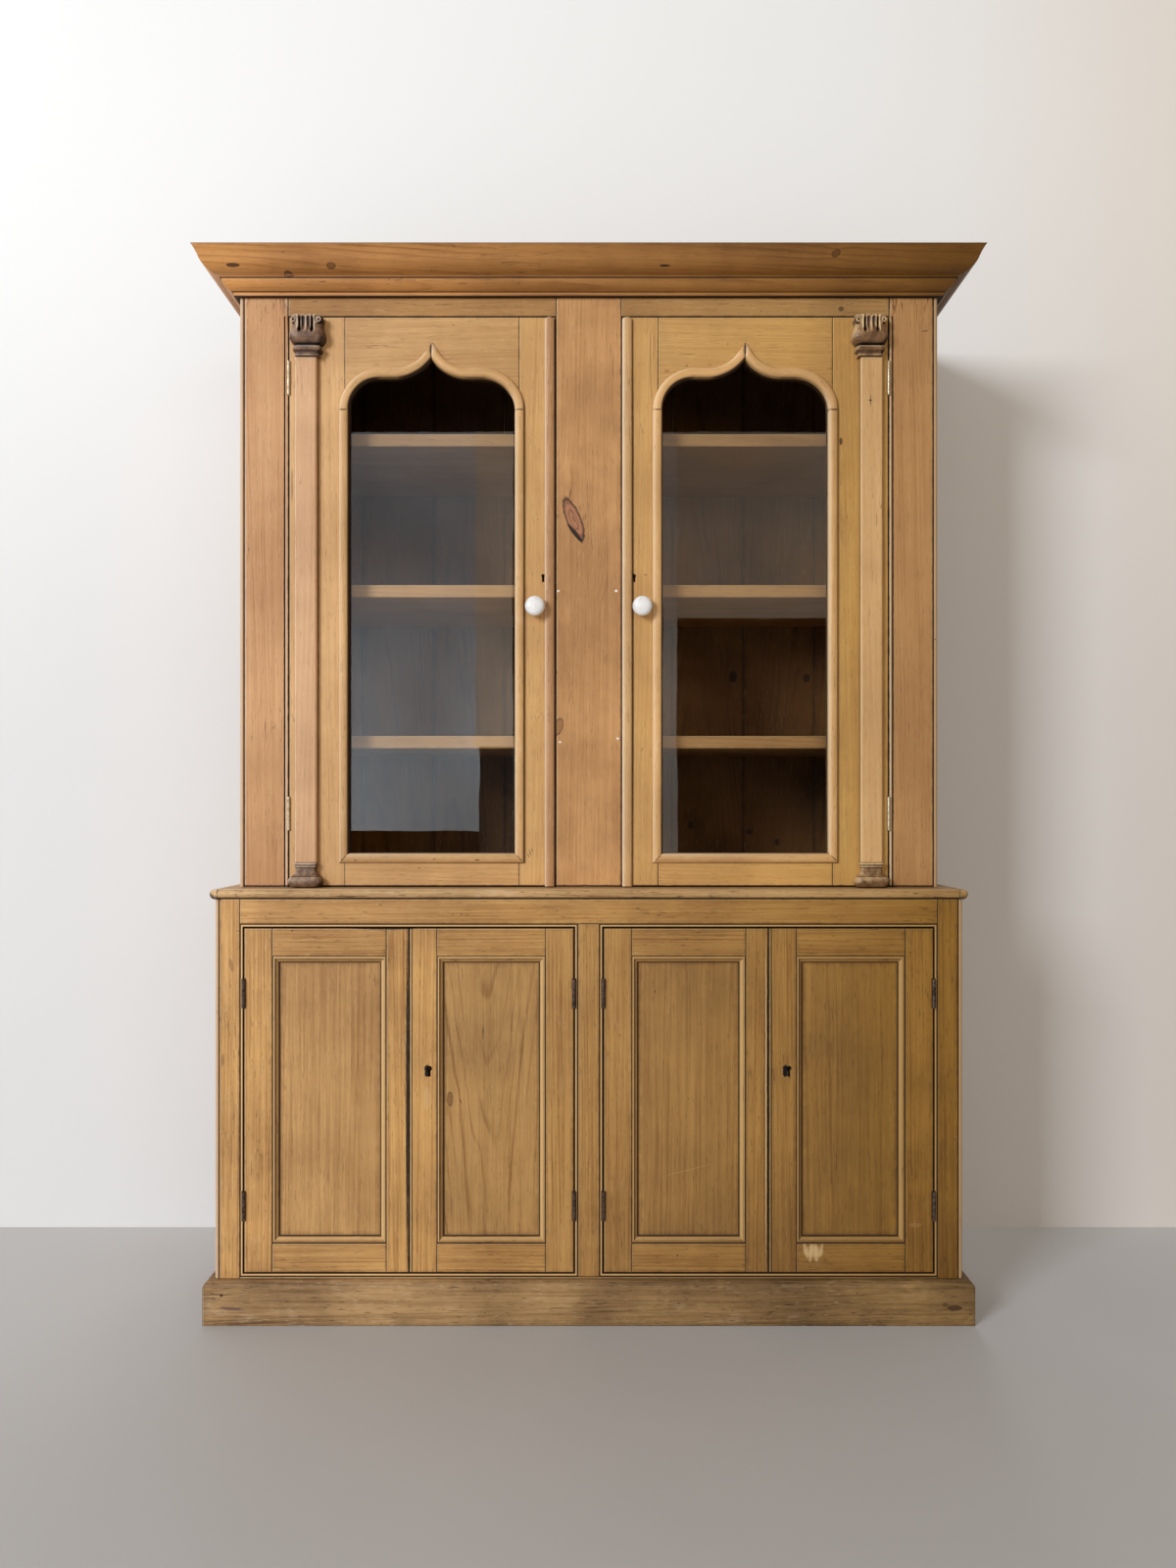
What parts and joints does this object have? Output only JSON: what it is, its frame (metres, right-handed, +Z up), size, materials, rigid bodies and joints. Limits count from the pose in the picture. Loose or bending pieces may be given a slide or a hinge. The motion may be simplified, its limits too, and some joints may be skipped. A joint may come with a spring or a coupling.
{
  "type": "glazed cabinet",
  "caption": "Victorian pine glazed bookcase on a four-door panelled cupboard, with ogee-arched doors, carved pilasters, shelves, hinges, locks and white knobs.",
  "frame": {"origin": "on the floor, under the middle of the cabinet's box", "axes": "+X to the viewer's right, +Y towards the back (the doors face -Y), +Z up"},
  "size_m": [1.692, 0.532, 2.3],
  "materials": {
    "waxed_pine": "satin wax",
    "cornice_pine": "satin wax",
    "inner_pine": "matt, unfinished",
    "dark_carving": "satin, darkened",
    "old_glass": "clear, slightly uneven",
    "white_glaze": "glossy, crazed",
    "old_brass": "dulled",
    "black_iron": "dark oxide"
  },
  "bodies": {
    "carcase": {"cornice_bed_moulding": "cornice_pine", "cornice_crown": "cornice_pine", "lower_back_boards": "inner_pine", "lower_boards_and_shelves": "inner_pine", "lower_cock_beads": "waxed_pine", "lower_ends": "waxed_pine", "lower_face_frame": "waxed_pine", "lower_frame_hinge_leaves": "black_iron", "plinth": "waxed_pine", "shelf_bearers": "inner_pine", "top_board": "waxed_pine", "top_nosings": "waxed_pine", "upper_back_boards": "inner_pine", "upper_carcase_boards": "inner_pine", "upper_ends": "waxed_pine", "upper_face_frame": "waxed_pine", "upper_frame_hinge_leaves": "old_brass", "upper_shelves": "inner_pine"},
    "lower_door_1": {"lower_door_1_frame": "waxed_pine", "lower_door_1_hinge_leaves": "black_iron", "lower_door_1_panel": "waxed_pine", "lower_door_1_panel_moulding": "waxed_pine"},
    "lower_door_2": {"lower_door_2_frame": "waxed_pine", "lower_door_2_hinge_leaves": "black_iron", "lower_door_2_lock_case": "black_iron", "lower_door_2_panel": "waxed_pine", "lower_door_2_panel_moulding": "waxed_pine"},
    "lower_door_2_latch": {"lower_door_2_lock_bolt": "old_brass"},
    "lower_door_3": {"lower_door_3_frame": "waxed_pine", "lower_door_3_hinge_leaves": "black_iron", "lower_door_3_panel": "waxed_pine", "lower_door_3_panel_moulding": "waxed_pine"},
    "lower_door_4": {"lower_door_4_frame": "waxed_pine", "lower_door_4_hinge_leaves": "black_iron", "lower_door_4_lock_case": "black_iron", "lower_door_4_panel": "waxed_pine", "lower_door_4_panel_moulding": "waxed_pine"},
    "lower_door_4_latch": {"lower_door_4_lock_bolt": "old_brass"},
    "upper_door_left": {"upper_door_left_cover_bead": "waxed_pine", "upper_door_left_frame": "waxed_pine", "upper_door_left_glass": "old_glass", "upper_door_left_glazing_mouldings": "waxed_pine", "upper_door_left_hinge_leaves": "old_brass", "upper_door_left_knob": "white_glaze", "upper_door_left_knob_bolt": "black_iron", "upper_door_left_lock_case": "black_iron", "upper_door_left_pilaster": "waxed_pine", "upper_door_left_pilaster_blocks": "dark_carving"},
    "upper_door_left_latch": {"upper_door_left_lock_bolt": "old_brass"},
    "upper_door_right": {"upper_door_right_cover_bead": "waxed_pine", "upper_door_right_frame": "waxed_pine", "upper_door_right_glass": "old_glass", "upper_door_right_glazing_mouldings": "waxed_pine", "upper_door_right_hinge_leaves": "old_brass", "upper_door_right_knob": "white_glaze", "upper_door_right_knob_bolt": "black_iron", "upper_door_right_lock_case": "black_iron", "upper_door_right_pilaster": "waxed_pine", "upper_door_right_pilaster_blocks": "dark_carving"},
    "upper_door_right_latch": {"upper_door_right_lock_bolt": "old_brass"}
  },
  "joints": [
    {"name": "upper_door_left_swing", "type": "hinge", "parent": "carcase", "child": "upper_door_left", "pos_m": [-0.658, -0.188, 1.565], "axis": [0, 0, -1], "range_deg": [0, 100]},
    {"name": "upper_door_left_lock_throw", "type": "slide", "parent": "upper_door_left", "child": "upper_door_left_latch", "axis": [1, 0, 0], "range_m": [0, 0.008]},
    {"name": "upper_door_right_swing", "type": "hinge", "parent": "carcase", "child": "upper_door_right", "pos_m": [0.658, -0.188, 1.565], "axis": [0, 0, 1], "range_deg": [0, 100]},
    {"name": "upper_door_right_lock_throw", "type": "slide", "parent": "upper_door_right", "child": "upper_door_right_latch", "axis": [-1, 0, 0], "range_m": [0, 0.008]},
    {"name": "lower_door_1_swing", "type": "hinge", "parent": "carcase", "child": "lower_door_1", "pos_m": [-0.739, -0.2455, 0.475], "axis": [0, 0, -1], "range_deg": [0, 170]},
    {"name": "lower_door_2_swing", "type": "hinge", "parent": "carcase", "child": "lower_door_2", "pos_m": [-0.0313, -0.2455, 0.475], "axis": [0, 0, 1], "range_deg": [0, 94]},
    {"name": "lower_door_3_swing", "type": "hinge", "parent": "carcase", "child": "lower_door_3", "pos_m": [0.0313, -0.2455, 0.475], "axis": [0, 0, -1], "range_deg": [0, 94]},
    {"name": "lower_door_4_swing", "type": "hinge", "parent": "carcase", "child": "lower_door_4", "pos_m": [0.739, -0.2455, 0.475], "axis": [0, 0, 1], "range_deg": [0, 170]},
    {"name": "lower_door_2_lock_throw", "type": "slide", "parent": "lower_door_2", "child": "lower_door_2_latch", "axis": [-1, 0, 0], "range_m": [0, 0.008]},
    {"name": "lower_door_4_lock_throw", "type": "slide", "parent": "lower_door_4", "child": "lower_door_4_latch", "axis": [-1, 0, 0], "range_m": [0, 0.008]}
  ]
}
